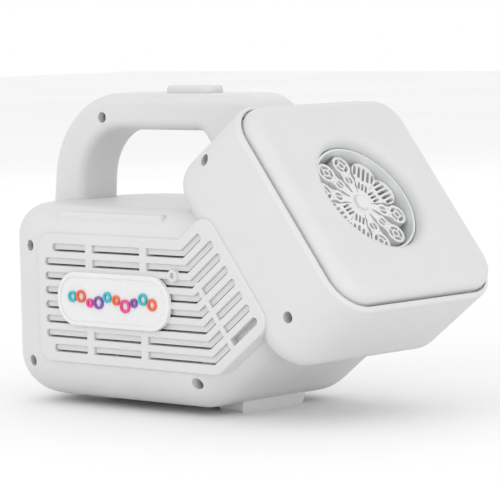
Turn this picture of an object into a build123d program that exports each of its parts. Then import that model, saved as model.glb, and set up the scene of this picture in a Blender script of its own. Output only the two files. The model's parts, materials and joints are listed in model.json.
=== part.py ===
from build123d import *
from math import atan2, cos, degrees, hypot, pi, radians, sin, tan
import os

# Bubble machine: a carried housing with a tilted head.  +X is the front, +Y is the left side and
# +Z is up.  The origin is under the middle of the machine, on the surface it stands on.
# Shapes of the head are drawn in the HEAD plane: x to the left, y up the cover, z out of the cover.

# ---- driving dimensions, millimetres and degrees ----
WIDTH = 130.0
WALL = 2.4
HANDLE_WALL = 3.0

BODY_REAR = -131.5
BODY_TOP = 111.0
BODY_BOTTOM = 4.5
BODY_NOSE = 45.0
REAR_PLAN_RADIUS = 42.0
TOP_EDGE_RADIUS = 18.0
BOTTOM_EDGE_RADIUS = 24.0
CHIN_OFFSET = -46.5
CHIN_RADIUS = 30.0

PANEL_LEAN = 37.6
HEAD_X = 90.6
HEAD_Z = 114.6
HEAD_HEIGHT = 130.7
HEAD_DEPTH = 60.0
HEAD_CORNER = 22.0
HEAD_REAR_RADIUS = 14.0

HANDLE_WIDTH = 32.0
HANDLE_TOP = 171.3
HANDLE_EDGE = 6.0
GRIP_HOLE_TOP = 151.0
GRIP_HOLE_REAR = -106.5
GRIP_HOLE_CORNER = 30.0
GRIP_OUTER_CORNER = 52.0

COVER_WIDTH = 122.0
COVER_HEIGHT = 122.7
COVER_CORNER = 17.0
COVER_PROUD = 8.0
COVER_EDGE = 7.0
COVER_WALL = 2.6
COVER_SKIRT = 7.0
RIM_GAP = 0.35
OPENING_Y = 1.0
OPENING_RADIUS = 33.2
CONE_RADIUS = 39.0

SLOT_COUNT = 8
SLOT_PITCH = 7.9
SLOT_HEIGHT = 4.4
SLOT_TOP_Z = 88.8
SLOT_LEFT_X = -82.5
SLOT_BEND_X = 19.5
SLOT_BEND_ANGLE = 21.0
SLOT_END = -50.0
PAD_RAISE = 1.5
GRIP_SEAT_RISE = 40.0
LEDGE_ENDS = (-80.0, 0.0)
LEDGE_HEIGHTS = (102.6, 108.2)
LEDGE_INSET = 3.6
LEDGE_ROOT = 14.0
LEDGE_EDGE = 1.6
PAD_MARGIN = 5.5
BAR_WIDTH = 5.0
TONGUE_GAP = 0.15
TONGUE_DEPTH = 1.5
AIR_SLIT = 0.9
BAR_XS = (-50.5, -9.5)
RIB_Z = -73.5
RIB_WIDTH = 3.0

BADGE_X = -31.0
BADGE_Z = 61.5
BADGE_LENGTH = 84.0
BADGE_HEIGHT = 29.5
BADGE_THICK = 2.6
LOCATOR_SPOT = (13.2, 77.2)

BUTTON_X = -31.0
BUTTON_LENGTH = 35.0
BUTTON_WIDTH = 15.0
BUTTON_PROUD = 4.0

FOOT_WIDTH = 50.0
FOOT_LENGTH = 20.0
FRONT_FOOT_X = 14.0
REAR_FOOT_X = -88.0

SCREW_HEAD = 5.0
SCREW_SHANK = 2.6
SCREW_COUNTERBORE = 6.2
SCREW_LENGTH = 22.0
CASE_SCREWS = ((-98.6, 88.9), (-99.0, 24.8), (24.2, 20.0), (91.8, 59.2), (33.6, 138.5), (-88.2, 157.7))

GEAR_MODULE = 0.5
GEAR_LAYER = 4.0
GEAR_GAP = 0.7
WHEEL_TEETH = 42
PINION_TEETH = 12
MOTOR_TEETH = 10
BACKLASH = 0.12

SPLIT_GAP = 0.02
POST_RADIUS = 4.4
SCREW_SEAT = -14.0
HANDLE_SCREW_SEAT = -9.0
COLLAR_RADIUS = 41.5

DOOR_REAR = -76.0
DOOR_FRONT = -2.0
DOOR_HALF = 34.0
DOOR_GAP = 0.4
DOOR_THICK = 2.0
DOOR_SCREW_X = -72.5
TRAY_REAR = -69.0
TRAY_FRONT = -7.0
TRAY_HALF = 32.2
TRAY_LOW = 7.2
TRAY_HIGH = 26.6
CELL_RADIUS = 7.25
CELL_LENGTH = 50.5
CELL_PITCH = 15.2
CELL_Z = 16.4

CUP_RADIUS = 31.4
CUP_REAR = -15.0
CUP_FRONT = 1.0
TANK_HALF = 46.0
TANK_LOW = -38.0
TANK_HIGH = -3.0
TANK_REAR = -37.0
TANK_LUG_Z = -5.4
TANK_SCREW_LENGTH = 5.4

WHEEL_FRONT = -3.0
WHEEL_REAR = -9.0
SHAFT_RADIUS = 2.0
BUSH_RADIUS = 3.6
PIN_RADIUS = 1.0
GEAR_FRONT = -41.0
GEARBOX_REAR = -57.0
OUTPUT_SPOT = (0.0, OPENING_Y)
SECOND_SPOT = (0.0, OPENING_Y - 13.5)
FIRST_SPOT = (-13.5, OPENING_Y - 13.5)
MOTOR_SPOT = (FIRST_SPOT[0] - 13 * cos(radians(30)), FIRST_SPOT[1] - 13 * sin(radians(30)))

FAN_Y = 5.0
FAN_Z = -95.0
FAN_CHAMBER = 29.4
FAN_HALF = 9.4
FAN_RADIUS = 24.0
FAN_BLADES = 16
DUCT_HEIGHT = 17.2
DUCT_END = -40.0

SWITCH_BOARD_TOP = 156.0
BOARD_POSTS = ((-56.0, 64.0), (-16.0, 91.0))

BUBBLE_COUNT = 10
BUBBLE_COLOURS = 4

# ---- frames ----
COS_LEAN = cos(radians(PANEL_LEAN))
SIN_LEAN = sin(radians(PANEL_LEAN))
HEAD = Plane(origin=(HEAD_X, 0, HEAD_Z), x_dir=(0, 1, 0), z_dir=(COS_LEAN, 0, SIN_LEAN))
SIDE_Y = WIDTH / 2


def side_point(y, z):
    """X and Z in the machine's frame of a point at height y, depth z of the head plane."""
    return (HEAD_X - SIN_LEAN * y + COS_LEAN * z, HEAD_Z + COS_LEAN * y + SIN_LEAN * z)


def in_head(shape):
    """Place a shape drawn in head coordinates."""
    return HEAD.location * shape


def side_plane(y):
    """Sketch plane parallel to the machine's sides: x along X, y along Z, extruding to -Y."""
    return Plane(origin=(0, y, 0), x_dir=(1, 0, 0), z_dir=(0, -1, 0))


def plate_between(face, y_low, y_high):
    """Prism of an XZ outline between two Y positions."""
    return extrude(side_plane(y_high) * face, amount=y_high - y_low)


def solid_of(*shapes):
    """Join shapes into one clean solid."""
    joined = shapes[0]
    for shape in shapes[1:]:
        joined = joined + shape
    return joined.clean()


def save(shape, node):
    export_step(shape, f"parts/{node}.step")


def tube(outer, inner, low, high):
    """Ring about the local z axis between two heights."""
    height = high - low
    ring = Cylinder(outer, height) - Cylinder(inner, height + 1)
    return Pos(0, 0, (low + high) / 2) * ring


def disc(radius, low, high):
    return Pos(0, 0, (low + high) / 2) * Cylinder(radius, high - low)


def block(x0, x1, y0, y1, z0, z1):
    middle = Pos((x0 + x1) / 2, (y0 + y1) / 2, (z0 + z1) / 2)
    return middle * Box(x1 - x0, y1 - y0, z1 - z0)


# ---- housing envelope ----
def body_block(inset):
    """Low rounded body with the slanted chin, shrunk by inset on every face."""
    rear, top = BODY_REAR + inset, BODY_TOP - inset
    bottom, chin = BODY_BOTTOM + inset, CHIN_OFFSET + inset
    chin_depth = (bottom - HEAD_Z - COS_LEAN * chin) / SIN_LEAN
    chin_start = side_point(chin, chin_depth)
    chin_end = side_point(chin, -HEAD_DEPTH / 2)
    outline = Polyline((rear, bottom), chin_start, chin_end, (BODY_NOSE, top), (rear, top), close=True)
    face = make_face(outline)
    corner = face.vertices().sort_by_distance((chin_start[0], chin_start[1], 0))[0]
    face = fillet(corner, CHIN_RADIUS - inset)
    half = SIDE_Y - inset
    solid = plate_between(face, -half, half)
    rear_edges = solid.edges().filter_by(Axis.Z).group_by(Axis.X)[0]
    solid = fillet(rear_edges, REAR_PLAN_RADIUS - inset)
    top_edges = solid.faces().sort_by(Axis.Z)[-1].edges()
    solid = fillet(top_edges.sort_by(Axis.X)[:-1], TOP_EDGE_RADIUS - inset)
    bottom_edges = solid.faces().sort_by(Axis.Z)[0].edges()
    return fillet(bottom_edges.sort_by(Axis.X)[:-1], BOTTOM_EDGE_RADIUS - inset)


def head_block(inset):
    """Tilted box of the head, shrunk by inset; its mouth stays open past the rim."""
    outline = RectangleRounded(WIDTH - 2 * inset, HEAD_HEIGHT - 2 * inset, HEAD_CORNER - inset)
    mouth = 20.0 if inset else 0.0
    deep = HEAD_DEPTH - inset
    solid = extrude(Plane.XY.offset(-deep) * outline, amount=deep + mouth)
    rear_edges = solid.faces().sort_by(Axis.Z)[0].edges()
    return in_head(fillet(rear_edges, HEAD_REAR_RADIUS - inset))


def grip_outline():
    """Outer side view of the handle, running down inside the body and head."""
    front_top = side_point(HEAD_HEIGHT / 2 - 1, -12)
    front_low = side_point(HEAD_HEIGHT / 2 - 12, -20)
    outline = Polyline(
        (BODY_REAR + 1, 60),
        (BODY_REAR + 0.5, 112),
        (BODY_REAR + 7, HANDLE_TOP),
        (front_top[0] - 20, HANDLE_TOP),
        front_top,
        front_low,
        (20, 90),
        (-70, 60),
        close=True,
    )
    face = make_face(outline)
    rear_top = face.vertices().sort_by_distance((BODY_REAR + 7, HANDLE_TOP, 0))[0]
    face = fillet(rear_top, GRIP_OUTER_CORNER)
    front_knee = face.vertices().sort_by_distance((front_top[0] - 20, HANDLE_TOP, 0))[0]
    return fillet(front_knee, 24)


def grip_hole():
    """Finger opening, closed below by the body's top and in front by the head's rear wall."""
    top_y = (GRIP_HOLE_TOP - HEAD_Z + SIN_LEAN * HEAD_DEPTH) / COS_LEAN
    low_y = (BODY_TOP - 1 - HEAD_Z + SIN_LEAN * HEAD_DEPTH) / COS_LEAN
    front_top = side_point(top_y, -HEAD_DEPTH)
    front_low = side_point(low_y, -HEAD_DEPTH)
    outline = Polyline(
        (GRIP_HOLE_REAR, BODY_TOP - 1),
        (GRIP_HOLE_REAR + 3, GRIP_HOLE_TOP),
        front_top,
        front_low,
        close=True,
    )
    face = make_face(outline)
    rear_top = face.vertices().sort_by_distance((GRIP_HOLE_REAR + 3, GRIP_HOLE_TOP, 0))[0]
    face = fillet(rear_top, GRIP_HOLE_CORNER)
    near_front = face.vertices().sort_by_distance((front_top[0], front_top[1], 0))[0]
    return fillet(near_front, 7)


def is_free_rim(edge):
    """True for handle edges that stand clear of the body and the head."""
    middle = edge.center()
    buried_in_head = middle.X > 25 and middle.Z < HANDLE_TOP - 12
    return middle.Z > BODY_TOP + 2 and not buried_in_head


def grip_block():
    """Handle bar with rounded edges."""
    half = HANDLE_WIDTH / 2
    bar = plate_between(grip_outline(), -half, half)
    bar = bar - plate_between(grip_hole(), -half - 1, half + 1)
    sides = bar.faces().sort_by(Axis.Y)
    rims = sides[0].edges() + sides[-1].edges()
    free_rims = rims.filter_by(is_free_rim)
    return fillet(free_rims, HANDLE_EDGE)


def grip_cavity():
    """Hollow inside the handle, open to the body and head."""
    half = HANDLE_WIDTH / 2 - HANDLE_WALL
    outer = offset(grip_outline(), amount=-HANDLE_WALL)
    hole = offset(grip_hole(), amount=HANDLE_WALL)
    return plate_between(outer, -half, half) - plate_between(hole, -half - 1, half + 1)


# ---- side details ----
def slot_path(row):
    """Centre line of one louvre slot: level from the rear, then up along the head's axis."""
    level = SLOT_TOP_Z - SLOT_PITCH * row
    bend_x = SLOT_BEND_X + SLOT_PITCH * row * tan(radians(SLOT_BEND_ANGLE))
    outermost = row in (0, SLOT_COUNT - 1)
    left_x = SLOT_LEFT_X + (6 if outermost else 0)
    rise_y = side_height(bend_x, level)
    end = SLOT_END - (5 if row == 0 else 0) - SLOT_HEIGHT / 2
    return (left_x, level), (bend_x, level), side_point(rise_y, end)


def side_height(x, z):
    """Height up the head plane of a point given by its X and Z."""
    return -(x - HEAD_X) * SIN_LEAN + (z - HEAD_Z) * COS_LEAN


def slot_band(path, width):
    """Rounded band of a given width round a bent centre line."""
    band = None
    for start, end in zip(path, path[1:]):
        run = hypot(end[0] - start[0], end[1] - start[1])
        turn = degrees(atan2(end[1] - start[1], end[0] - start[0]))
        middle = ((start[0] + end[0]) / 2, (start[1] + end[1]) / 2)
        piece = Pos(*middle) * Rot(0, 0, turn) * SlotCenterToCenter(run, width)
        band = piece if band is None else band + piece
    return band


def slot_faces(gap=0.0, slit=0.0):
    """All louvre slots of one side, with the cross bars left standing.

    A gap draws them smaller all round, and a slit leaves that much free along their lower edges.
    """
    slots = None
    for row in range(SLOT_COUNT):
        band = slot_band(slot_path(row), SLOT_HEIGHT - 2 * gap - slit)
        band = Pos(-slit / 4, slit / 2) * band
        slots = band if slots is None else slots + band
    span = SLOT_PITCH * SLOT_COUNT + 20
    middle_z = SLOT_TOP_Z - SLOT_PITCH * (SLOT_COUNT - 1) / 2
    for bar_x in BAR_XS:
        slots = slots - Pos(bar_x, middle_z) * Rectangle(BAR_WIDTH + 2 * gap, span)
    rib_low = side_point(-60, RIB_Z)
    rib_high = side_point(4, RIB_Z)
    return slots - slot_band((rib_low, rib_high), RIB_WIDTH + 2 * gap)


def pad_face():
    """Outline of the raised pad that carries the louvres."""
    first = slot_path(0)
    last = slot_path(SLOT_COUNT - 1)
    grow = SLOT_HEIGHT / 2 + PAD_MARGIN
    left = SLOT_LEFT_X - grow
    top = SLOT_TOP_Z + grow
    bottom = last[0][1] - grow
    end = SLOT_END + PAD_MARGIN
    slant = grow * tan(radians(PANEL_LEAN / 2))
    high_y = side_height(first[1][0] - slant, top)
    low_y = side_height(last[1][0] + slant, bottom)
    outline = Polyline(
        (left, bottom),
        (last[1][0] + slant, bottom),
        side_point(low_y, end),
        side_point(high_y, end),
        (first[1][0] - slant, top),
        (left, top),
        close=True,
    )
    face = make_face(outline)
    return fillet(face.vertices(), 9)


def side_pad(side):
    """Raised louvre pad on one side of the envelope; side is -1 for right, +1 for left."""
    outside = SIDE_Y + PAD_RAISE
    pad = plate_between(pad_face(), SIDE_Y - 10, outside)
    rim = pad.faces().sort_by(Axis.Y)[-1].edges()
    pad = fillet(rim, 0.9)
    return pad if side > 0 else mirror(pad, about=Plane.XZ)


def side_slots(side):
    """Cutting tool of the louvre slots, through the pad and the wall."""
    tool = plate_between(slot_faces(), SIDE_Y - WALL - 0.6, SIDE_Y + PAD_RAISE + 1)
    return tool if side > 0 else mirror(tool, about=Plane.XZ)


def shoulder_ledge(side):
    """Raised bar along the rounded shoulder of the body."""
    bar = block(*LEDGE_ENDS, SIDE_Y - LEDGE_ROOT, SIDE_Y - LEDGE_INSET, *LEDGE_HEIGHTS)
    long_edges = bar.edges().filter_by(Axis.X).sort_by(Axis.Y)[-2:]
    end_edges = bar.edges().filter_by(Axis.Z).sort_by(Axis.Y)[-2:]
    bar = fillet(long_edges + end_edges, LEDGE_EDGE)
    return bar if side > 0 else mirror(bar, about=Plane.XZ)


def badge_locator(side):
    """Small moulded ring beside the name plate."""
    ring = Circle(3.2) - Circle(1.7)
    boss = plate_between(Pos(*LOCATOR_SPOT) * ring, SIDE_Y, SIDE_Y + PAD_RAISE + 1.4)
    return boss if side > 0 else mirror(boss, about=Plane.XZ)


# ---- housing halves ----
def screw_tube(x, z, radius, y_low, y_high):
    return plate_between(Pos(x, z) * Circle(radius), y_low, y_high)


def screw_seat(z):
    """Y of the face that a case screw's head bears on, deeper-set in the narrow handle."""
    return HANDLE_SCREW_SEAT if z > BODY_TOP + GRIP_SEAT_RISE else SCREW_SEAT


def housing():
    """Whole housing wall with pads, ledges, openings and rim, before it is split."""
    outside = solid_of(body_block(0), head_block(0), grip_block())
    mouth_edges = outside.faces().filter_by(Plane(HEAD.origin, z_dir=HEAD.z_dir)).sort_by(Axis.X)[-1].edges()
    outside = fillet(mouth_edges, 2.4)
    for side in (-1, 1):
        outside = outside + side_pad(side) + shoulder_ledge(side)
    cavity = solid_of(body_block(WALL), head_block(WALL), grip_cavity())
    mouth_lip = RectangleRounded(WIDTH - 1, HEAD_HEIGHT - 1, HEAD_CORNER - 1) - cover_outline(RIM_GAP)
    lip = in_head(extrude(Plane.XY.offset(-COVER_SKIRT - 1) * mouth_lip, amount=COVER_SKIRT - 1.2))
    shell = outside - cavity + lip
    shell = shell - in_head(extrude(Plane.XY.offset(-COVER_SKIRT - 2) * cover_outline(RIM_GAP), amount=30))
    for side in (-1, 1):
        shell = shell - side_slots(side) + badge_locator(side)
    shell = shell - button_opening() - door_opening()
    return shell.clean()


def cover_outline(grow):
    return RectangleRounded(COVER_WIDTH + 2 * grow, COVER_HEIGHT + 2 * grow, COVER_CORNER + grow)


def button_opening():
    outline = RectangleRounded(BUTTON_LENGTH + 0.6, BUTTON_WIDTH + 0.6, 6.3)
    return Pos(BUTTON_X, 0, HANDLE_TOP - 8) * extrude(outline, amount=12)


def door_opening():
    half = DOOR_HALF + DOOR_GAP
    return block(DOOR_REAR - DOOR_GAP, DOOR_FRONT + DOOR_GAP, -half, half, 0, 10)


def shell_half(whole, envelope, side):
    """One moulded half with its screw posts; the right half carries the counterbores."""
    outer_y = SIDE_Y + PAD_RAISE + 2
    low, high = (-outer_y, -SPLIT_GAP / 2) if side < 0 else (SPLIT_GAP / 2, outer_y)
    half = whole & block(-200, 200, low, high, -10, 220)
    for x, z in CASE_SCREWS:
        post = screw_tube(x, z, POST_RADIUS, low, high) & envelope
        half = half + post
    if side > 0:
        for x, z in BOARD_POSTS:
            half = half + (screw_tube(x, z, 3.2, 41.65, outer_y) & envelope)
            half = half - screw_tube(x, z, 1.15, 41, 56)
    for x, z in CASE_SCREWS:
        seat = screw_seat(z)
        if side < 0:
            half = half - screw_tube(x, z, SCREW_COUNTERBORE / 2, -outer_y, seat)
            half = half - screw_tube(x, z, SCREW_SHANK / 2 + 0.3, seat - 1, 1)
        else:
            half = half - screw_tube(x, z, SCREW_SHANK / 2, -1, seat + SCREW_LENGTH + 1)
    return half.clean()


def case_screw(x, z):
    """Pan-head screw along Y with a cross recess in its head."""
    seat = screw_seat(z)
    head = screw_tube(x, z, SCREW_HEAD / 2, seat - 2, seat)
    shank = screw_tube(x, z, SCREW_SHANK / 2, seat, seat + SCREW_LENGTH)
    cross = Rectangle(3.0, 0.7) + Rectangle(0.7, 3.0)
    recess = plate_between(Pos(x, z) * cross, seat - 2.5, seat - 1)
    return head + shank - recess


def side_baffle(side, inside):
    """Plate behind the louvres whose raised tongues form their floor, with an air slit along each."""
    outline = offset(pad_face(), amount=-3)
    posts = CASE_SCREWS + BOARD_POSTS if side > 0 else CASE_SCREWS
    for x, z in posts:
        outline = outline - Pos(x, z) * Circle(POST_RADIUS + 0.4)
    back = SIDE_Y - WALL - 1.7
    plate = plate_between(outline, back, SIDE_Y - WALL - 0.1)
    floors = slot_faces(TONGUE_GAP, AIR_SLIT) & outline
    tongues = plate_between(floors, back, SIDE_Y + PAD_RAISE - TONGUE_DEPTH)
    slits = slot_faces(TONGUE_GAP) - slot_faces(TONGUE_GAP, AIR_SLIT)
    plate = plate - plate_between(slits, back - 1, SIDE_Y) + tongues
    plate = plate if side > 0 else mirror(plate, about=Plane.XZ)
    return ((plate & inside) + (plate & side_slots(side))).solids().sort_by(SortBy.VOLUME)[-1]


# ---- name plates ----
def badge(side):
    """Rounded plate standing on the louvre pad, with a fine rim."""
    outline = Pos(BADGE_X, BADGE_Z) * RectangleRounded(BADGE_LENGTH, BADGE_HEIGHT, BADGE_HEIGHT / 2 - 1)
    low = SIDE_Y + PAD_RAISE
    plate = plate_between(outline, low, low + BADGE_THICK)
    plate = fillet(plate.faces().sort_by(Axis.Y)[-1].edges(), 0.8)
    inner = RectangleRounded(BADGE_LENGTH - 5, BADGE_HEIGHT - 5, BADGE_HEIGHT / 2 - 3.5)
    inner = Pos(BADGE_X, BADGE_Z) * inner
    plate = plate - plate_between(inner, low + BADGE_THICK - 0.5, low + BADGE_THICK + 1)
    return plate if side > 0 else mirror(plate, about=Plane.XZ)


def badge_bubbles(colour_index, side):
    """Raised rings of one colour on a name plate, a row of bubbles of different sizes."""
    low = SIDE_Y + PAD_RAISE + BADGE_THICK - 0.5
    rings = None
    for place in range(colour_index, BUBBLE_COUNT, BUBBLE_COLOURS):
        step = place - (BUBBLE_COUNT - 1) / 2
        radius = 3.1 + 0.6 * sin(2.4 * place)
        lift = 2.2 * sin(1.7 * place + 0.6)
        spot = Pos(BADGE_X + 6.7 * step, BADGE_Z + lift)
        ring = plate_between(spot * (Circle(radius) - Circle(radius - 1.5)), low, low + 1.3)
        crown = ring.faces().sort_by(Axis.Y)[-1].edges()
        ring = fillet(crown, 0.5)
        rings = ring if rings is None else rings + ring
    return rings if side > 0 else mirror(rings, about=Plane.XZ)


# ---- front cover ----
def front_cover():
    """Panel with a rounded proud edge and a bull-nosed round opening."""
    body = extrude(Plane.XY.offset(-COVER_SKIRT) * cover_outline(0), amount=COVER_SKIRT + COVER_PROUD)
    body = fillet(body.faces().sort_by(Axis.Z)[-1].edges(), COVER_EDGE)
    deep = COVER_SKIRT + COVER_PROUD - COVER_WALL + 1
    hollow = extrude(Plane.XY.offset(-COVER_SKIRT - 1) * cover_outline(-COVER_WALL), amount=deep)
    hollow = fillet(hollow.faces().sort_by(Axis.Z)[-1].edges(), COVER_EDGE - COVER_WALL)
    panel = body - hollow
    collar = Pos(0, OPENING_Y, 0) * disc(COLLAR_RADIUS, -1, COVER_PROUD)
    panel = panel + collar
    for x, y in tank_posts():
        panel = panel + Pos(x, y, 0) * disc(3.2, TANK_LUG_Z, COVER_PROUD - 1)
    panel = panel - Pos(0, OPENING_Y, 0) * disc(OPENING_RADIUS, -20, 20)
    brim = panel.edges().filter_by(GeomType.CIRCLE).filter_by(is_opening_brim)
    panel = fillet(brim, CONE_RADIUS - OPENING_RADIUS)
    for x, y in tank_posts():
        panel = panel - Pos(x, y, 0) * disc(1.2, TANK_LUG_Z - 1, COVER_PROUD - 4)
    return in_head(panel)


def is_opening_brim(edge):
    return abs(edge.radius - OPENING_RADIUS) < 0.01 and edge.center().Z > COVER_PROUD - 0.1


# ---- solution tank ----
def tank_posts():
    """Places of the four screws that hold the tank behind the cover."""
    reach = 34.0
    return [(sx * reach, OPENING_Y + sy * reach) for sx in (-1, 1) for sy in (-1, 1)]


def solution_tank():
    """Tilted cup round the wheel, opening below into a closed reservoir behind it."""
    cup = Pos(0, OPENING_Y, 0) * disc(CUP_RADIUS + 1.2, CUP_REAR - 1.2, CUP_FRONT)
    flange = Pos(0, OPENING_Y, 0) * disc(38.0, -4.0, -2.6)
    sump = block(-TANK_HALF, TANK_HALF, TANK_LOW, TANK_HIGH, TANK_REAR, CUP_REAR + 6)
    sump = fillet(sump.edges().filter_by(Axis.Z), 5)
    tank = cup + flange + sump
    for x, y in tank_posts():
        arm = Pos(x * 0.62, OPENING_Y + (y - OPENING_Y) * 0.62) * Circle(5.2) + Pos(x, y) * Circle(4.2)
        tank = tank + extrude(Plane.XY.offset(TANK_LUG_Z - 1.6) * make_hull(arm.edges()), amount=1.6)
    tank = tank - Pos(0, OPENING_Y, 0) * disc(CUP_RADIUS, CUP_REAR, 10)
    half = TANK_HALF - 1.4
    inner = block(-half, half, TANK_LOW + 1.4, TANK_HIGH - 1.4, TANK_REAR + 1.4, CUP_REAR + 4.6)
    tank = tank - fillet(inner.edges().filter_by(Axis.Z), 3.6)
    tank = tank + Pos(0, OPENING_Y, 0) * disc(5.0, CUP_REAR - 5, CUP_REAR)
    tank = tank - Pos(0, OPENING_Y, 0) * disc(BUSH_RADIUS, CUP_REAR - 20, CUP_REAR + 1)
    tank = tank - block(-8.5, 8.5, 17.5, 29.5, CUP_REAR - 5, CUP_REAR + 1)
    for x, y in tank_posts():
        tank = tank - Pos(x, y, 0) * disc(1.6, TANK_LUG_Z - 5, TANK_LUG_Z + 1)
    return in_head(tank.clean())


def tank_seal():
    return in_head(Pos(0, OPENING_Y, 0) * tube(37.6, 33.8, -2.5, -1.1))


def small_screw(length):
    """Screw pointing to +Z with its head below the seat at Z = 0."""
    head = disc(2.3, -1.6, 0)
    recess = extrude(Plane.XY.offset(-1.7) * (Rectangle(2.6, 0.6) + Rectangle(0.6, 2.6)), amount=0.9)
    return head + disc(1.15, 0, length) - recess


def tank_screws():
    group = [Pos(x, y, TANK_LUG_Z - 1.65) * small_screw(TANK_SCREW_LENGTH) for x, y in tank_posts()]
    return in_head(Compound(children=group))


# ---- wand wheel ----
def ring_wand():
    """Two round loops on a stem, drawn along +X from the wheel's centre."""
    frame = Pos(24.4, 0) * Circle(5.9) + Pos(14.9, 0) * Circle(3.9) + Pos(10, 0) * Rectangle(12, 2.2)
    for lean in (-9, 9):
        frame = frame + Rot(0, 0, lean) * Pos(13, 0) * Rectangle(17, 1.3)
    frame = frame - Pos(24.4, 0) * Circle(4.3) - Pos(14.9, 0) * Circle(2.4)
    core = Circle(2.5) - Circle(1.5)
    cross = Rectangle(8.8, 0.9) + Rectangle(0.9, 8.8) - Circle(2.0)
    return frame + Pos(24.4, 0) * (core + cross) + Pos(14.9, 0) * (Rectangle(5, 0.9))


def fan_wand():
    """Petal with rows of narrow slits, drawn along +X from the wheel's centre."""
    petal = make_face(Polyline((6, -2.2), (25, -7.6), (25, 7.6), (6, 2.2), close=True))
    petal = petal + Pos(22.6, 0) * Circle(7.7)
    for row in range(-2, 3):
        slit = Pos(22.6, row * 2.9) * SlotOverall(10.5 - abs(row) * 1.6, 1.7)
        petal = petal - slit
    for row in (-1, 0, 1):
        petal = petal - Pos(12.6, row * 2.3) * SlotOverall(5.6, 1.4)
    return petal


def wand_wheel():
    """Ten wands round a hub: three loops, two petals, three loops, two petals."""
    outline = Circle(7.2)
    for place in range(10):
        wand = fan_wand() if place % 5 in (3, 4) else ring_wand()
        outline = outline + Rot(0, 0, 158 - 36 * place) * wand
    wheel = extrude(Plane.XY.offset(WHEEL_REAR) * outline, amount=WHEEL_FRONT - WHEEL_REAR)
    wheel = wheel + disc(5.0, WHEEL_REAR - 2.0, WHEEL_FRONT)
    wheel = wheel - disc(SHAFT_RADIUS + 0.01, WHEEL_REAR - 3, WHEEL_FRONT - 2)
    return in_head(Pos(0, OPENING_Y, 0) * wheel)


def hub_cap():
    """Domed button over the end of the wheel shaft."""
    cap = disc(4.6, WHEEL_FRONT, WHEEL_FRONT + 1.8)
    cap = fillet(cap.faces().sort_by(Axis.Z)[-1].edges(), 1.2)
    return in_head(Pos(0, OPENING_Y, 0) * cap)


# ---- gears ----
def involute_gear(teeth, phase):
    """Involute outline with one tooth centred at the angle phase, in degrees."""
    pitch = GEAR_MODULE * teeth / 2
    base = pitch * cos(radians(20))
    tip = pitch + GEAR_MODULE
    root = pitch - 1.25 * GEAR_MODULE
    half_tooth = (pi * GEAR_MODULE / 2 - BACKLASH) / 2 / pitch
    offset_angle = half_tooth + involute(pitch, base)
    flank_radii = [max(base, root) + (tip - max(base, root)) * part / 4 for part in range(5)]
    points = []
    for tooth in range(teeth):
        middle = radians(phase) + 2 * pi * tooth / teeth
        rising = [(radius, middle - offset_angle + involute(radius, base)) for radius in flank_radii]
        falling = [(radius, 2 * middle - angle) for radius, angle in reversed(rising)]
        foot = [(root, rising[0][1])] if root < base else []
        toe = [(root, falling[-1][1])] if root < base else []
        points += foot + rising + falling + toe
    return make_face(Polyline(*[(r * cos(a), r * sin(a)) for r, a in points], close=True))


def involute(radius, base):
    """Involute function of the pressure angle at a radius."""
    angle = flank(radius, base)
    return tan(angle) - angle


def flank(radius, base):
    """Pressure angle of the involute at a radius."""
    ratio = min(1.0, base / radius)
    return atan2((1 - ratio * ratio) ** 0.5, ratio)


def gear_layer(layer):
    """Lower face of a gear layer; layer 0 is nearest the wheel."""
    return GEAR_FRONT - GEAR_LAYER - layer * (GEAR_LAYER + GEAR_GAP)


def gear_disc(teeth, phase, layer):
    low = gear_layer(layer)
    return extrude(Plane.XY.offset(low) * involute_gear(teeth, phase), amount=GEAR_LAYER)


def output_gear():
    """Last gear, pressed on the wheel shaft."""
    gear = gear_disc(WHEEL_TEETH, -90, 0) - disc(SHAFT_RADIUS + 0.01, -80, 0)
    for turn in range(5):
        gear = gear - Rot(0, 0, 72 * turn) * Pos(6.1, 0, 0) * disc(1.9, -80, 0)
    return in_head(Pos(*OUTPUT_SPOT, 0) * gear)


def wheel_shaft():
    return in_head(Pos(*OUTPUT_SPOT, 0) * disc(SHAFT_RADIUS, gear_layer(0) - 0.3, WHEEL_FRONT - 2))


def compound_gear(spot, pinion_phase, wheel_phase, pinion_layer):
    """Small gear moulded on a large one, one layer further back."""
    small = gear_disc(PINION_TEETH, pinion_phase, pinion_layer)
    large = gear_disc(WHEEL_TEETH, wheel_phase, pinion_layer + 1)
    link = disc(2.2, gear_layer(pinion_layer + 1), gear_layer(pinion_layer) + 1)
    gear = small + large + link - disc(PIN_RADIUS + 0.05, -90, 0)
    return in_head(Pos(*spot, 0) * gear)


def motor_pinion():
    gear = gear_disc(MOTOR_TEETH, 48, 2)
    gear = gear + disc(1.0, GEARBOX_REAR - 3, gear_layer(2))
    return in_head(Pos(*MOTOR_SPOT, 0) * gear)


def gear_pins():
    """Two fixed steel pins that carry the compound gears."""
    first = Pos(*FIRST_SPOT, 0) * disc(PIN_RADIUS, GEARBOX_REAR + 0.5, GEAR_FRONT + 0.8)
    second = Pos(*SECOND_SPOT, 0) * disc(PIN_RADIUS, GEARBOX_REAR + 0.5, GEAR_FRONT + 0.8)
    return in_head(Compound(children=[first, second]))


def gearbox_outline(grow):
    return Pos(-8.5, -6) * RectangleRounded(45 + 2 * grow, 38 + 2 * grow, 4 + grow)


def gearbox_screw_spots():
    return [(-30.6, 12.2), (-10.0, -28.2), (13.6, -26.0)]


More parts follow.
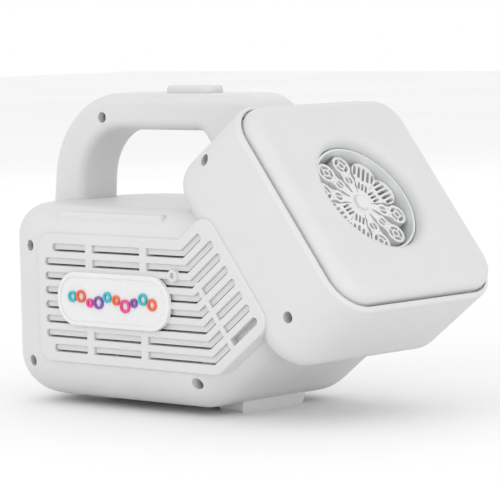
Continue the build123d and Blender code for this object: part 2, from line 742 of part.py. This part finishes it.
def gearbox_case():
    """Tray that holds the gears, open at the rear."""
    deep = GEAR_FRONT + 1.5 - (GEARBOX_REAR + 1.5)
    case = extrude(Plane.XY.offset(GEARBOX_REAR + 1.5) * gearbox_outline(1.3), amount=deep)
    case = case - extrude(Plane.XY.offset(GEARBOX_REAR + 1) * gearbox_outline(0), amount=deep - 1.0)
    for x, y in gearbox_screw_spots():
        case = case + Pos(x, y, 0) * disc(2.6, GEARBOX_REAR + 1.5, GEAR_FRONT)
    for x, y in gearbox_screw_spots():
        case = case - Pos(x, y, 0) * disc(1.15, GEARBOX_REAR, GEAR_FRONT - 4)
    case = case - Pos(*OUTPUT_SPOT, 0) * disc(SHAFT_RADIUS + 0.08, -60, 0)
    for spot in (FIRST_SPOT, SECOND_SPOT):
        case = case - Pos(*spot, 0) * disc(PIN_RADIUS, GEAR_FRONT - 1, GEAR_FRONT + 0.8)
    return in_head(case)


def gearbox_lid():
    """Rear plate of the gearbox, with the hole for the motor's nose."""
    lid = extrude(Plane.XY.offset(GEARBOX_REAR) * gearbox_outline(1.3), amount=1.5)
    for x, y in gearbox_screw_spots():
        lid = lid + Pos(x, y, 0) * disc(2.6, GEARBOX_REAR, GEARBOX_REAR + 1.5)
    for x, y in gearbox_screw_spots():
        lid = lid - Pos(x, y, 0) * disc(1.3, GEARBOX_REAR - 1, GEARBOX_REAR + 2)
    lid = lid - Pos(*MOTOR_SPOT, 0) * disc(1.6, GEARBOX_REAR - 1, GEARBOX_REAR + 2)
    for spot in (FIRST_SPOT, SECOND_SPOT):
        lid = lid - Pos(*spot, 0) * disc(PIN_RADIUS, GEARBOX_REAR + 0.5, GEARBOX_REAR + 2)
    return in_head(lid)


def gearbox_screws():
    group = [Pos(x, y, GEARBOX_REAR - 0.02) * small_screw(7) for x, y in gearbox_screw_spots()]
    return in_head(Compound(children=group))


def motor_can(length, radius):
    """Small motor drawn from Z = 0 down: flatted can, nose boss and end cap."""
    can = disc(radius, -length, 0) & block(-radius, radius, -radius + 2.2, radius - 2.2, -length, 0)
    cap = disc(radius - 1.2, -length - 2.2, -length) & block(-20, 20, -radius + 3, radius - 3, -length - 3, 0)
    low = -length - 5.5
    tabs = block(-6, -5.4, -1.5, 1.5, low, -length) + block(5.4, 6, -1.5, 1.5, low, -length)
    return (can + cap + tabs) - disc(1.1, -4, 1)


def gear_motor():
    return in_head(Pos(*MOTOR_SPOT, GEARBOX_REAR - 0.1) * motor_can(25, 10))


def shaft_bush():
    bush = tube(BUSH_RADIUS, SHAFT_RADIUS + 0.05, CUP_REAR - 8, CUP_REAR + 1.2)
    return in_head(Pos(*OUTPUT_SPOT, 0) * bush)


# ---- blower ----
def along_left(shape):
    """Turn a shape drawn along Z so that it runs along the head's x axis."""
    return Pos(0, FAN_Y, FAN_Z) * Rot(0, 90, 0) * shape


def blower_housing():
    """Round fan chamber with a straight duct towards the wheel, open on the right."""
    duct_low, duct_high = FAN_Y + FAN_CHAMBER - DUCT_HEIGHT - 1.6, FAN_Y + FAN_CHAMBER + 1.6
    body = along_left(disc(FAN_CHAMBER + 1.6, -FAN_HALF, FAN_HALF + 1.6))
    duct = block(-FAN_HALF, FAN_HALF + 1.6, duct_low, duct_high, FAN_Z, DUCT_END)
    hollow = along_left(disc(FAN_CHAMBER, -FAN_HALF - 1, FAN_HALF))
    inside = block(-FAN_HALF - 1, FAN_HALF, duct_low + 1.6, duct_high - 1.6, FAN_Z, DUCT_END + 1)
    shaft_hole = along_left(disc(2.0, FAN_HALF - 1, FAN_HALF + 3))
    housing_solid = body + duct - hollow - inside - shaft_hole
    return in_head(housing_solid.clean())


def blower_lid():
    """Flat right-hand wall of the blower with the air intake."""
    duct_low, duct_high = FAN_Y + FAN_CHAMBER - DUCT_HEIGHT - 1.6, FAN_Y + FAN_CHAMBER + 1.6
    wall = along_left(disc(FAN_CHAMBER + 1.6, -FAN_HALF - 1.6, -FAN_HALF))
    wall = wall + block(-FAN_HALF - 1.6, -FAN_HALF, duct_low, duct_high, FAN_Z, DUCT_END)
    intake = along_left(disc(13.0, -FAN_HALF - 3, -FAN_HALF + 1))
    grid = along_left(block(-0.8, 0.8, -13.5, 13.5, -FAN_HALF - 1.6, -FAN_HALF))
    grid = grid + along_left(block(-13.5, 13.5, -0.8, 0.8, -FAN_HALF - 1.6, -FAN_HALF))
    return in_head((wall - intake + grid).clean())


def blower_impeller():
    """Squirrel-cage fan: a back plate, a hub and a ring of blades."""
    fan = disc(FAN_RADIUS, FAN_HALF - 3.0, FAN_HALF - 1.6) + disc(3.4, -2, FAN_HALF - 1.6)
    for turn in range(FAN_BLADES):
        plate = block(-4, 4, -0.5, 0.5, -FAN_HALF + 2, FAN_HALF - 2)
        blade = Pos(FAN_RADIUS - 4.2, 0, 0) * Rot(0, 0, 32) * plate
        fan = fan + Rot(0, 0, turn * 360 / FAN_BLADES) * blade
    fan = fan + tube(FAN_RADIUS, FAN_RADIUS - 1.4, -FAN_HALF + 1.4, -FAN_HALF + 2.6)
    fan = fan + disc(1.0, FAN_HALF - 2, FAN_HALF + 5)
    return in_head(along_left(fan))


def fan_motor():
    can = Rot(180, 0, 0) * motor_can(27, 12)
    return in_head(along_left(Pos(0, 0, FAN_HALF + 1.65) * can))


def air_nozzle():
    """Tapering duct from the blower to the back of the wheel's upper wands."""
    low = FAN_Y + FAN_CHAMBER - DUCT_HEIGHT - 1.6
    high = FAN_Y + FAN_CHAMBER + 1.6
    middle = (low + high) / 2
    wide = Rectangle(2 * FAN_HALF + 3.2, high - low)
    wide_inside = Rectangle(2 * FAN_HALF, high - low - 3.2)
    rear = DUCT_END + 0.05
    front = CUP_REAR - 1.25
    skin = loft([Pos(0, middle, rear) * wide, Pos(0, 23.5, front) * Rectangle(19.4, 14.4)])
    bore = loft([Pos(0, middle, rear) * wide_inside, Pos(0, 23.5, front) * Rectangle(17, 12)])
    return in_head(skin - bore)


# ---- battery bay ----
def cell_rows():
    return [CELL_PITCH * (place - 1.5) for place in range(4)]


def along_front(shape):
    """Turn a shape drawn along Z so that it runs along X."""
    return Rot(0, 90, 0) * shape


def battery_tray():
    """Box over the cells, open below, with a post for the door screw."""
    tray = block(TRAY_REAR, TRAY_FRONT, -TRAY_HALF, TRAY_HALF, TRAY_LOW, TRAY_HIGH)
    for side in (-1, 1):
        near, far = sorted((side * (TRAY_HALF - 1), side * (TRAY_HALF + 4.5)))
        tray = tray + block(TRAY_REAR, TRAY_FRONT, near, far, TRAY_LOW, TRAY_LOW + 1.6)
    tray = tray + block(DOOR_SCREW_X - 4, TRAY_REAR + 1, -5, 5, TRAY_LOW, 16)
    wall = 1.6
    half = TRAY_HALF - wall
    inner = block(TRAY_REAR + wall, TRAY_FRONT - wall, -half, half, 0, TRAY_HIGH - wall)
    tray = tray - inner
    for row in (-CELL_PITCH, 0, CELL_PITCH):
        tray = tray + block(TRAY_REAR + 1, TRAY_FRONT - 1, row - 0.5, row + 0.5, 21, TRAY_HIGH - 1)
    bore = Pos(DOOR_SCREW_X, 0, 0) * disc(2.4, TRAY_LOW - 1, 14.8)
    return (tray - bore).clean()


def battery_cells():
    """Four pencil cells side by side, alternating direction."""
    cells = []
    for place, row in enumerate(cell_rows()):
        turn = 180 if place % 2 else 0
        can = fillet(disc(CELL_RADIUS, -CELL_LENGTH / 2, CELL_LENGTH / 2 - 1.2).edges(), 0.6)
        cell = can + disc(2.7, CELL_LENGTH / 2 - 1.3, CELL_LENGTH / 2)
        middle = (TRAY_REAR + TRAY_FRONT) / 2
        cells.append(Pos(middle, row, CELL_Z) * Rot(0, 0, turn) * along_front(cell))
    return Compound(children=cells)


def battery_contacts():
    """Contact plates at both ends of the bay, each negative one with a conical spring."""
    plates = []
    for place, row in enumerate(cell_rows()):
        for end in (-1, 1):
            wall_x = TRAY_FRONT - 1.6 if end > 0 else TRAY_REAR + 1.6
            negative = (end > 0) == bool(place % 2)
            plate = block(-0.25, 0.25, -5.5, 5.5, -5.5, 7)
            plate = Pos(wall_x - end * 0.3, row, CELL_Z) * plate
            reach = 3.6 if negative else 2.3
            wide = 4.6 if negative else 2.0
            tip = 2.4 if negative else 1.6
            cone = Cone(wide, tip, reach - 0.5, align=(Align.CENTER, Align.CENTER, Align.MIN))
            cone = Pos(wall_x - end * 0.5, row, CELL_Z) * Rot(0, -90 * end, 0) * cone
            plates.append(plate + cone)
    return Compound(children=plates)


def battery_door():
    """Flat door with two hooks at its front edge and a screw seat at its rear."""
    plate = block(DOOR_REAR, DOOR_FRONT, -DOOR_HALF, DOOR_HALF, BODY_BOTTOM, BODY_BOTTOM + DOOR_THICK)
    plate = fillet(plate.edges().filter_by(Axis.Z).sort_by(Axis.X)[:2], 3)
    top = BODY_BOTTOM + DOOR_THICK
    for row in (-18, 18):
        plate = plate + block(DOOR_FRONT - 1.6, DOOR_FRONT, row - 4, row + 4, top - 0.5, 8.8)
        plate = plate + block(DOOR_FRONT - 1.6, DOOR_FRONT + 4.4, row - 4, row + 4, 7.2, 8.8)
    for place in range(5):
        x = DOOR_REAR + 14 + 2.4 * place
        plate = plate + block(x, x + 1.0, -9, 9, BODY_BOTTOM - 0.7, BODY_BOTTOM + 0.5)
    plate = plate + Pos(DOOR_SCREW_X, 0, 0) * disc(3.4, top - 0.5, top + 0.5)
    plate = plate - Pos(DOOR_SCREW_X, 0, 0) * disc(1.5, 0, 10)
    return plate - Pos(DOOR_SCREW_X, 0, 0) * disc(2.6, 0, BODY_BOTTOM + 1.5)


def door_screw():
    """Captive screw of the battery door."""
    seat = BODY_BOTTOM + 1.45
    return Pos(DOOR_SCREW_X, 0, seat - 0.02) * (small_screw(5) & disc(2.3, -1.3, 6))


# ---- button ----
def power_button():
    """Long push button with a flange that keeps it in the handle."""
    cap_low = HANDLE_TOP - HANDLE_WALL - 0.3
    height = HANDLE_TOP + BUTTON_PROUD - cap_low
    cap = extrude(Plane.XY.offset(cap_low) * RectangleRounded(BUTTON_LENGTH, BUTTON_WIDTH, 6), amount=height)
    cap = fillet(cap.faces().sort_by(Axis.Z)[-1].edges(), 1.6)
    flange = extrude(Plane.XY.offset(cap_low - 1.8) * RectangleRounded(39, 19, 7.5), amount=1.9)
    stem = disc(2.6, cap_low - 4.5, cap_low - 1)
    return Pos(BUTTON_X, 0, 0) * (cap + flange + stem)


def button_spring():
    """Return spring between the switch board and the button's flange."""
    low, high = SWITCH_BOARD_TOP + 0.4, HANDLE_TOP - HANDLE_WALL - 2.1 - 0.4
    path = Helix(pitch=(high - low) / 4, height=high - low, radius=5.2)
    start = Plane(origin=path @ 0, z_dir=path % 0)
    coil = sweep(start * Circle(0.35), path=path)
    return Pos(BUTTON_X, 0, low) * coil


def switch_board():
    board = block(BUTTON_X - 12, BUTTON_X + 12, -9, 9, SWITCH_BOARD_TOP - 1.6, SWITCH_BOARD_TOP)
    for x, y in ((-9, 6), (9, -6)):
        board = board - Pos(BUTTON_X + x, y, 0) * disc(1.1, SWITCH_BOARD_TOP - 3, SWITCH_BOARD_TOP + 1)
    return board


def button_switch():
    """Square tactile switch with a round plunger."""
    body = block(BUTTON_X - 3, BUTTON_X + 3, -3, 3, SWITCH_BOARD_TOP, SWITCH_BOARD_TOP + 4)
    body = fillet(body.edges().filter_by(Axis.Z), 0.6)
    return body + Pos(BUTTON_X, 0, 0) * disc(1.7, SWITCH_BOARD_TOP + 3, SWITCH_BOARD_TOP + 5)


# ---- electronics ----
def control_board():
    board = block(-60, -12, 40, 41.6, 60, 95)
    for x, z in BOARD_POSTS:
        board = board - screw_tube(x, z, 1.3, 39, 43)
    return board


def board_parts():
    """Controller chip, capacitor, coil and plug sockets on the control board."""
    chip = block(-42, -32, 37.8, 40, 74, 80)
    can = plate_between(Pos(-24, 84) * Circle(4), 29, 40)
    coil = plate_between(Pos(-26, 70) * RectangleRounded(8, 8, 2), 35.5, 40)
    sockets = [block(x, x + 7, 33.5, 40, 88, 93.5) for x in (-50, -38)]
    return Compound(children=[chip, fillet(can.edges(), 0.6), coil] + sockets)


def board_screws():
    group = [Pos(x, 39.95, z) * Rot(-90, 0, 0) * small_screw(6) for x, z in BOARD_POSTS]
    return Compound(children=group)


def wire(points, bend, radius):
    """Round wire of straight runs joined by tangent arcs."""
    path = FilletPolyline(*points, radius=bend)
    start = Plane(origin=path @ 0, z_dir=path % 0)
    return sweep(start * Circle(radius), path=path)


def wire_loom():
    """Leads from the control board to the switch and to the battery tray."""
    over_duct = side_point(50, -46)
    in_pillar = side_point(76, -51)
    to_switch = wire(
        ((-34.5, 33, 91), (-34.5, 24, 91), (20, 18, 98), (31, 16, 112),
         (over_duct[0], 8, over_duct[1]), (in_pillar[0], 0, in_pillar[1]),
         (-14, 0, 158.5), (BUTTON_X + 12.5, 0, 158.5)),
        5, 1.0)
    to_cells = wire(((-46.5, 33, 91), (-46.5, 24, 91), (-46.5, 24, TRAY_HIGH + 0.5)), 5, 1.0)
    return Compound(children=[to_switch, to_cells])


# ---- feet ----
def foot_bar(middle, envelope):
    """Low bar across the base with sloped ends, fitted to the curved bottom."""
    half = FOOT_LENGTH / 2
    outline = make_face(Polyline(
        (middle - half + 2, 0), (middle + half - 2, 0), (middle + half, BODY_BOTTOM + 4),
        (middle - half, BODY_BOTTOM + 4), close=True))
    bar = plate_between(outline, -FOOT_WIDTH / 2, FOOT_WIDTH / 2)
    bar = chamfer(bar.faces().sort_by(Axis.Z)[0].edges().filter_by(Axis.X), 1.5)
    return (bar - envelope).clean()


# ---- build ----
os.makedirs("parts", exist_ok=True)
envelope = solid_of(body_block(0), head_block(0), grip_block())
inside = solid_of(body_block(WALL + 0.1), head_block(WALL + 0.1))
whole = housing()
save(shell_half(whole, envelope, -1), "right_shell")
save(shell_half(whole, envelope, 1), "left_shell")
save(Compound(children=[case_screw(x, z) for x, z in CASE_SCREWS]), "case_screws")
save(front_cover(), "front_cover")
for side, name in ((-1, "right"), (1, "left")):
    save(side_baffle(side, inside), f"{name}_baffle")
    save(badge(side), f"{name}_badge")
for index, colour in enumerate(("teal", "red", "pink", "purple")):
    save(Compound(children=[badge_bubbles(index, -1), badge_bubbles(index, 1)]), f"badge_bubbles_{colour}")
save(foot_bar(FRONT_FOOT_X, envelope), "front_foot")
save(foot_bar(REAR_FOOT_X, envelope), "rear_foot")

save(solution_tank(), "solution_tank")
save(tank_seal(), "tank_seal")
save(tank_screws(), "tank_screws")
save(wand_wheel(), "wand_wheel")
save(hub_cap(), "hub_cap")
save(wheel_shaft(), "wheel_shaft")
save(shaft_bush(), "shaft_bush")

save(output_gear(), "output_gear")
save(compound_gear(SECOND_SPOT, 90 + 180 / PINION_TEETH, 180, 0), "second_gear")
save(compound_gear(FIRST_SPOT, 180 / PINION_TEETH, 210, 1), "first_gear")
save(motor_pinion(), "motor_pinion")
save(gear_pins(), "gear_pins")
save(gearbox_case(), "gearbox_case")
save(gearbox_lid(), "gearbox_lid")
save(gearbox_screws(), "gearbox_screws")
save(gear_motor(), "gear_motor")

save(blower_housing(), "blower_housing")
save(blower_lid(), "blower_lid")
save(blower_impeller(), "blower_impeller")
save(fan_motor(), "fan_motor")
save(air_nozzle(), "air_nozzle")

save(battery_tray(), "battery_tray")
save(battery_cells(), "battery_cells")
save(battery_contacts(), "battery_contacts")
save(battery_door(), "battery_door")
save(door_screw(), "door_screw")

save(power_button(), "power_button")
save(button_spring(), "button_spring")
save(switch_board(), "switch_board")
save(button_switch(), "button_switch")
save(control_board(), "control_board")
save(board_parts(), "board_parts")
save(board_screws(), "board_screws")
save(wire_loom(), "wire_loom")
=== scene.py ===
import json
from math import cos, radians, sin

import bpy
from mathutils import Matrix, Vector


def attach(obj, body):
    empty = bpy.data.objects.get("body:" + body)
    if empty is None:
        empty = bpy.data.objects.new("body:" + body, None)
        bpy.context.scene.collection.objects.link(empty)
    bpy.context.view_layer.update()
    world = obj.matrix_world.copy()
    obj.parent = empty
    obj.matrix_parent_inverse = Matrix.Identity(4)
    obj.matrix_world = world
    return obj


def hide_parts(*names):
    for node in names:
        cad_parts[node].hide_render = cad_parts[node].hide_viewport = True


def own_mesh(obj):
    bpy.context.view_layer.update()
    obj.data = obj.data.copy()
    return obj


# Lengths are in metres and angles in degrees; the lens and sensor are in millimetres.
CAMERA_PLACE = (1.1075, -1.2046, 0.2197)
CAMERA_AZIMUTH = 42.40
CAMERA_ELEVATION = 4.70
CAMERA_ROLL = -1.25
CAMERA_LENS = 216.0
CAMERA_SENSOR = 36.0

# name: (place, aimed at, width, height, watts)
LIGHTS = {
    "key_softbox": ((-0.6, -2.0, 1.1), (0.0, 0.0, 0.08), 1.2, 1.0, 6.5),
    "front_softbox": ((2.0, -0.6, 0.9), (0.0, 0.0, 0.10), 1.2, 1.2, 2.5),
    "low_fill": ((1.7, -0.7, 0.10), (0.06, 0.0, 0.05), 1.0, 0.3, 6.0),
    "rear_softbox": ((-1.2, 1.6, 1.4), (0.0, 0.0, 0.10), 1.4, 1.2, 3.0),
}
WORLD_COLOUR = (1.0, 1.0, 1.0, 1.0)
WORLD_STRENGTH = 1.0
FLOOR_SIZE = 12.0

# Base colours, linear RGB.
WHITE_SHELL = (0.66, 0.66, 0.66)
WHITE_COVER = (0.65, 0.65, 0.65)
WHITE_BADGE = (0.74, 0.74, 0.74)
WHITE_WHEEL = (0.72, 0.72, 0.715)
MILKY = (0.76, 0.78, 0.79)
GEAR_CREAM = (0.80, 0.77, 0.66)
GEARBOX_GREY = (0.20, 0.21, 0.22)
COMPONENT_BLACK = (0.035, 0.035, 0.037)
TEAL = (0.02, 0.47, 0.55)
RED = (0.82, 0.12, 0.04)
PINK = (0.80, 0.04, 0.26)
PURPLE = (0.22, 0.06, 0.38)
STEEL = (0.56, 0.56, 0.57)
BRASS = (0.78, 0.57, 0.26)
SEAL_BLACK = (0.05, 0.05, 0.05)
WIRE_RED = (0.45, 0.03, 0.02)
BOARD_GREEN = (0.03, 0.20, 0.08)
CELL_BLUE = (0.04, 0.12, 0.32)
CELL_BAND_GREY = (0.55, 0.56, 0.58)
FLOOR_DARK = (0.90, 0.90, 0.90)
FLOOR_LIGHT = (0.93, 0.93, 0.93)

# Part of the 0 to 1 range that a pattern's colours and roughness are spread over.
PATTERN_LOW = 0.3
PATTERN_HIGH = 0.7

# Bump depths.
MOULD_GRAIN = 0.000012
MOULD_FLOW = 0.00006
PAINT_RIPPLE = 0.000008
DRAWN_LINES = 0.000006
RUBBER_GRAIN = 0.00002
BOARD_WEAVE = 0.00001
SLEEVE_RIPPLE = 0.00001

PLASTIC_IOR = 1.49
RUBBER_IOR = 1.52
TRACE_SCALE = 260.0
TRACE_WIDTH = 0.06
CELL_BAND_X = -0.052
CELL_BAND_EDGE = 0.001


# ---- procedural finishes ----
class Finish:
    """A Principled material with helpers for object-space patterns."""

    def __init__(self, name):
        self.material = bpy.data.materials.new(name)
        self.material.use_nodes = True
        self.tree = self.material.node_tree
        self.shader = self.tree.nodes["Principled BSDF"]
        self.place = self.tree.nodes.new("ShaderNodeTexCoord").outputs["Object"]

    def node(self, kind):
        return self.tree.nodes.new(kind)

    def link(self, source, target):
        self.tree.links.new(source, target)

    def noise(self, size, detail, stretch=(1.0, 1.0, 1.0)):
        """Cloudy pattern whose patches are about size metres across."""
        mapping = self.node("ShaderNodeMapping")
        mapping.inputs["Scale"].default_value = stretch
        self.link(self.place, mapping.inputs["Vector"])
        pattern = self.node("ShaderNodeTexNoise")
        pattern.inputs["Scale"].default_value = 1.0 / size
        pattern.inputs["Detail"].default_value = detail
        self.link(mapping.outputs["Vector"], pattern.inputs["Vector"])
        return pattern.outputs["Fac"]

    def colours(self, pattern, low, high):
        """Blend from one colour to another along a pattern."""
        ramp = self.node("ShaderNodeValToRGB")
        ramp.color_ramp.elements[0].position = PATTERN_LOW
        ramp.color_ramp.elements[1].position = PATTERN_HIGH
        ramp.color_ramp.elements[0].color = (*low, 1.0)
        ramp.color_ramp.elements[1].color = (*high, 1.0)
        self.link(pattern, ramp.inputs["Fac"])
        self.link(ramp.outputs["Color"], self.shader.inputs["Base Color"])

    def roughness(self, pattern, low, high):
        """Vary the roughness from low to high along a pattern."""
        span = self.node("ShaderNodeMapRange")
        span.inputs["From Min"].default_value = PATTERN_LOW
        span.inputs["From Max"].default_value = PATTERN_HIGH
        span.inputs["To Min"].default_value = low
        span.inputs["To Max"].default_value = high
        self.link(pattern, span.inputs["Value"])
        self.link(span.outputs["Result"], self.shader.inputs["Roughness"])

    def bumps(self, layers):
        """Stack height patterns; each layer is (pattern, depth in metres)."""
        normal = None
        for pattern, depth in layers:
            bump = self.node("ShaderNodeBump")
            bump.inputs["Distance"].default_value = depth
            bump.inputs["Strength"].default_value = 1.0
            self.link(pattern, bump.inputs["Height"])
            if normal is not None:
                self.link(normal, bump.inputs["Normal"])
            normal = bump.outputs["Normal"]
        self.link(normal, self.shader.inputs["Normal"])

    def set(self, **values):
        """Set plain shader inputs, with _ for a space, and hand back the material."""
        for key, value in values.items():
            self.shader.inputs[key.replace("_", " ")].default_value = value
        return self.material


def shaded(colour, amount):
    return tuple(channel * amount for channel in colour)


def moulded_plastic(name, colour, rough=(0.42, 0.52), grain=MOULD_GRAIN,
                    flow=MOULD_FLOW, variation=0.975):
    """Injection-moulded plastic: spark-eroded grain and faint flow clouding.

    The darkest patches are the colour times variation.
    """
    finish = Finish(name)
    cloud = finish.noise(size=0.035, detail=4.0)
    finish.colours(cloud, shaded(colour, variation), colour)
    finish.roughness(finish.noise(size=0.012, detail=5.0), *rough)
    finish.bumps([
        (finish.noise(size=0.05, detail=2.0), flow),
        (finish.noise(size=0.0006, detail=3.0), grain),
    ])
    return finish.set(IOR=PLASTIC_IOR)


def glossy_paint(name, colour):
    """Pad-printed gloss colour with a slightly uneven film."""
    finish = Finish(name)
    film = finish.noise(size=0.004, detail=4.0)
    finish.colours(film, shaded(colour, amount=0.82), colour)
    finish.roughness(finish.noise(size=0.0015, detail=4.0), low=0.16, high=0.28)
    finish.bumps([(finish.noise(size=0.0008, detail=2.0), PAINT_RIPPLE)])
    return finish.set(Coat_Weight=0.5, Coat_Roughness=0.1)


def drawn_metal(name, colour):
    """Metal with fine drawing or turning lines."""
    finish = Finish(name)
    tint = finish.noise(size=0.004, detail=4.0)
    finish.colours(tint, shaded(colour, amount=0.8), colour)
    lines = finish.noise(size=0.0008, detail=3.0, stretch=(1.0, 9.0, 1.0))
    finish.roughness(lines, low=0.24, high=0.42)
    finish.bumps([(lines, DRAWN_LINES)])
    return finish.set(Metallic=1.0)


def soft_rubber(name, colour):
    """Matt rubber or wire insulation with a fine grain."""
    finish = Finish(name)
    tint = finish.noise(size=0.006, detail=4.0)
    finish.colours(tint, shaded(colour, amount=0.75), colour)
    finish.roughness(finish.noise(size=0.002, detail=4.0), low=0.62, high=0.82)
    finish.bumps([(finish.noise(size=0.0005, detail=3.0), RUBBER_GRAIN)])
    return finish.set(IOR=RUBBER_IOR)


def circuit_board(name, colour):
    """Solder-masked board with faint traces between darker and lighter fields."""
    finish = Finish(name)
    traces = finish.node("ShaderNodeTexBrick")
    traces.inputs["Scale"].default_value = TRACE_SCALE
    traces.inputs["Mortar Size"].default_value = TRACE_WIDTH
    traces.inputs["Color1"].default_value = (*colour, 1.0)
    traces.inputs["Color2"].default_value = (*shaded(colour, amount=0.8), 1.0)
    traces.inputs["Mortar"].default_value = (*shaded(colour, amount=1.7), 1.0)
    finish.link(finish.place, traces.inputs["Vector"])
    finish.link(traces.outputs["Color"], finish.shader.inputs["Base Color"])
    finish.roughness(finish.noise(size=0.003, detail=3.0), low=0.28, high=0.42)
    finish.bumps([(finish.noise(size=0.0007, detail=2.0), BOARD_WEAVE)])
    return finish.set(Coat_Weight=0.3)


def cell_sleeve(name, colour):
    """Printed shrink sleeve: a light band over the low-X end of the cells."""
    finish = Finish(name)
    split = finish.node("ShaderNodeSeparateXYZ")
    finish.link(finish.place, split.inputs["Vector"])
    band = finish.node("ShaderNodeMapRange")
    band.inputs["From Min"].default_value = CELL_BAND_X
    band.inputs["From Max"].default_value = CELL_BAND_X + CELL_BAND_EDGE
    finish.link(split.outputs["X"], band.inputs["Value"])
    finish.colours(band.outputs["Result"], CELL_BAND_GREY, colour)
    finish.roughness(finish.noise(size=0.003, detail=4.0), low=0.2, high=0.34)
    finish.bumps([(finish.noise(size=0.002, detail=3.0), SLEEVE_RIPPLE)])
    return finish.set(Coat_Weight=0.4)


def make_finishes():
    """One material for each slot of the record."""
    badge_look = {"rough": (0.24, 0.34), "grain": 0.000003, "flow": 0.00001}
    recipes = {
        "shell_white": (moulded_plastic, WHITE_SHELL, {}),
        "cover_white": (moulded_plastic, WHITE_COVER, {"rough": (0.45, 0.55)}),
        "badge_white": (moulded_plastic, WHITE_BADGE, badge_look),
        "wheel_white": (moulded_plastic, WHITE_WHEEL, {"rough": (0.3, 0.42), "grain": 0.000006}),
        "teal": (glossy_paint, TEAL, {}),
        "red": (glossy_paint, RED, {}),
        "pink": (glossy_paint, PINK, {}),
        "purple": (glossy_paint, PURPLE, {}),
        "tank_clear_white": (moulded_plastic, MILKY, {"rough": (0.3, 0.42)}),
        "gear_plastic": (moulded_plastic, GEAR_CREAM, {"rough": (0.34, 0.46)}),
        "gearbox_plastic": (moulded_plastic, GEARBOX_GREY, {"rough": (0.5, 0.62)}),
        "steel": (drawn_metal, STEEL, {}),
        "brass": (drawn_metal, BRASS, {}),
        "seal_rubber": (soft_rubber, SEAL_BLACK, {}),
        "board_green": (circuit_board, BOARD_GREEN, {}),
        "component_black": (moulded_plastic, COMPONENT_BLACK, {"variation": 0.8}),
        "cell_wrap": (cell_sleeve, CELL_BLUE, {}),
        "wire_red": (soft_rubber, WIRE_RED, {}),
    }
    return {
        name: build(name, colour, **options)
        for name, (build, colour, options) in recipes.items()
    }


def dress(nodes, record, finishes):
    """Give every CAD node the finish of its slot."""
    for part in record["subparts"]:
        node = nodes[part["node"]]
        finish = finishes[part["material_slot"]]
        if not node.material_slots:
            node.data.materials.append(finish)
        for slot in node.material_slots:
            slot.material = finish


def make_return_spring(node):
    """Copy of the spring under the power button, carried by the housing in place of the CAD
    node.
    """
    spring = bpy.data.objects.new("return_spring", node.data.copy())
    bpy.context.collection.objects.link(spring)
    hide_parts("button_spring")
    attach(spring, "housing")
    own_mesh(spring)


# ---- studio ----
def make_floor():
    """Pale level floor that the machine stands on."""
    half = FLOOR_SIZE / 2
    mesh = bpy.data.meshes.new("floor")
    corners = [(-half, -half, 0), (half, -half, 0), (half, half, 0), (-half, half, 0)]
    mesh.from_pydata(corners, [], [(0, 1, 2, 3)])
    floor = bpy.data.objects.new("floor", mesh)
    bpy.context.collection.objects.link(floor)
    finish = Finish("studio_floor")
    finish.colours(finish.noise(size=0.6, detail=2.0), FLOOR_DARK, FLOOR_LIGHT)
    finish.roughness(finish.noise(size=0.2, detail=2.0), low=0.85, high=0.95)
    mesh.materials.append(finish.material)


def make_lights():
    """Soft rectangular lamps that the camera does not see."""
    for name, (place, aim, width, height, watts) in LIGHTS.items():
        light = bpy.data.lights.new(name, "AREA")
        light.shape = "RECTANGLE"
        light.size = width
        light.size_y = height
        light.energy = watts
        lamp = bpy.data.objects.new(name, light)
        lamp.location = place
        beam = Vector(aim) - Vector(place)
        lamp.rotation_euler = beam.to_track_quat("-Z", "Y").to_euler()
        lamp.visible_camera = False
        bpy.context.collection.objects.link(lamp)


def make_world():
    """White surroundings, shown without the default tone curve, which greys them."""
    world = bpy.data.worlds.new("studio")
    world.use_nodes = True
    background = world.node_tree.nodes["Background"]
    background.inputs["Color"].default_value = WORLD_COLOUR
    background.inputs["Strength"].default_value = WORLD_STRENGTH
    bpy.context.scene.world = world
    bpy.context.scene.view_settings.view_transform = "Standard"


def make_camera():
    """Camera with the photo's viewing angle and its small roll."""
    azimuth = radians(CAMERA_AZIMUTH)
    elevation = radians(CAMERA_ELEVATION)
    roll = radians(CAMERA_ROLL)
    right = Vector((cos(azimuth), sin(azimuth), 0))
    back = Vector((sin(azimuth) * cos(elevation), -cos(azimuth) * cos(elevation),
                   sin(elevation)))
    up = back.cross(right)
    turned_right = right * cos(roll) + up * sin(roll)
    turned_up = up * cos(roll) - right * sin(roll)
    data = bpy.data.cameras.new("camera")
    data.lens = CAMERA_LENS
    data.sensor_width = CAMERA_SENSOR
    camera = bpy.data.objects.new("camera", data)
    turn = Matrix((turned_right, turned_up, back)).transposed().to_4x4()
    camera.matrix_world = Matrix.Translation(CAMERA_PLACE) @ turn
    bpy.context.collection.objects.link(camera)
    bpy.context.scene.camera = camera


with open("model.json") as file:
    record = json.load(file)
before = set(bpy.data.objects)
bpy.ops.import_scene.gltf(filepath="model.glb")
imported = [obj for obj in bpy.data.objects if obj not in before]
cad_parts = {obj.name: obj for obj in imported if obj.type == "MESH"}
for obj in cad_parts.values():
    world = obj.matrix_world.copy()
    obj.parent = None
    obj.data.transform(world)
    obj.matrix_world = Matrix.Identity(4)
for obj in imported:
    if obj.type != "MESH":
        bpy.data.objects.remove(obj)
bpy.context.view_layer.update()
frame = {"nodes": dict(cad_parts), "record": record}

dress(frame["nodes"], frame["record"], make_finishes())
make_return_spring(frame["nodes"]["button_spring"])
make_floor()
make_lights()
make_world()
make_camera()
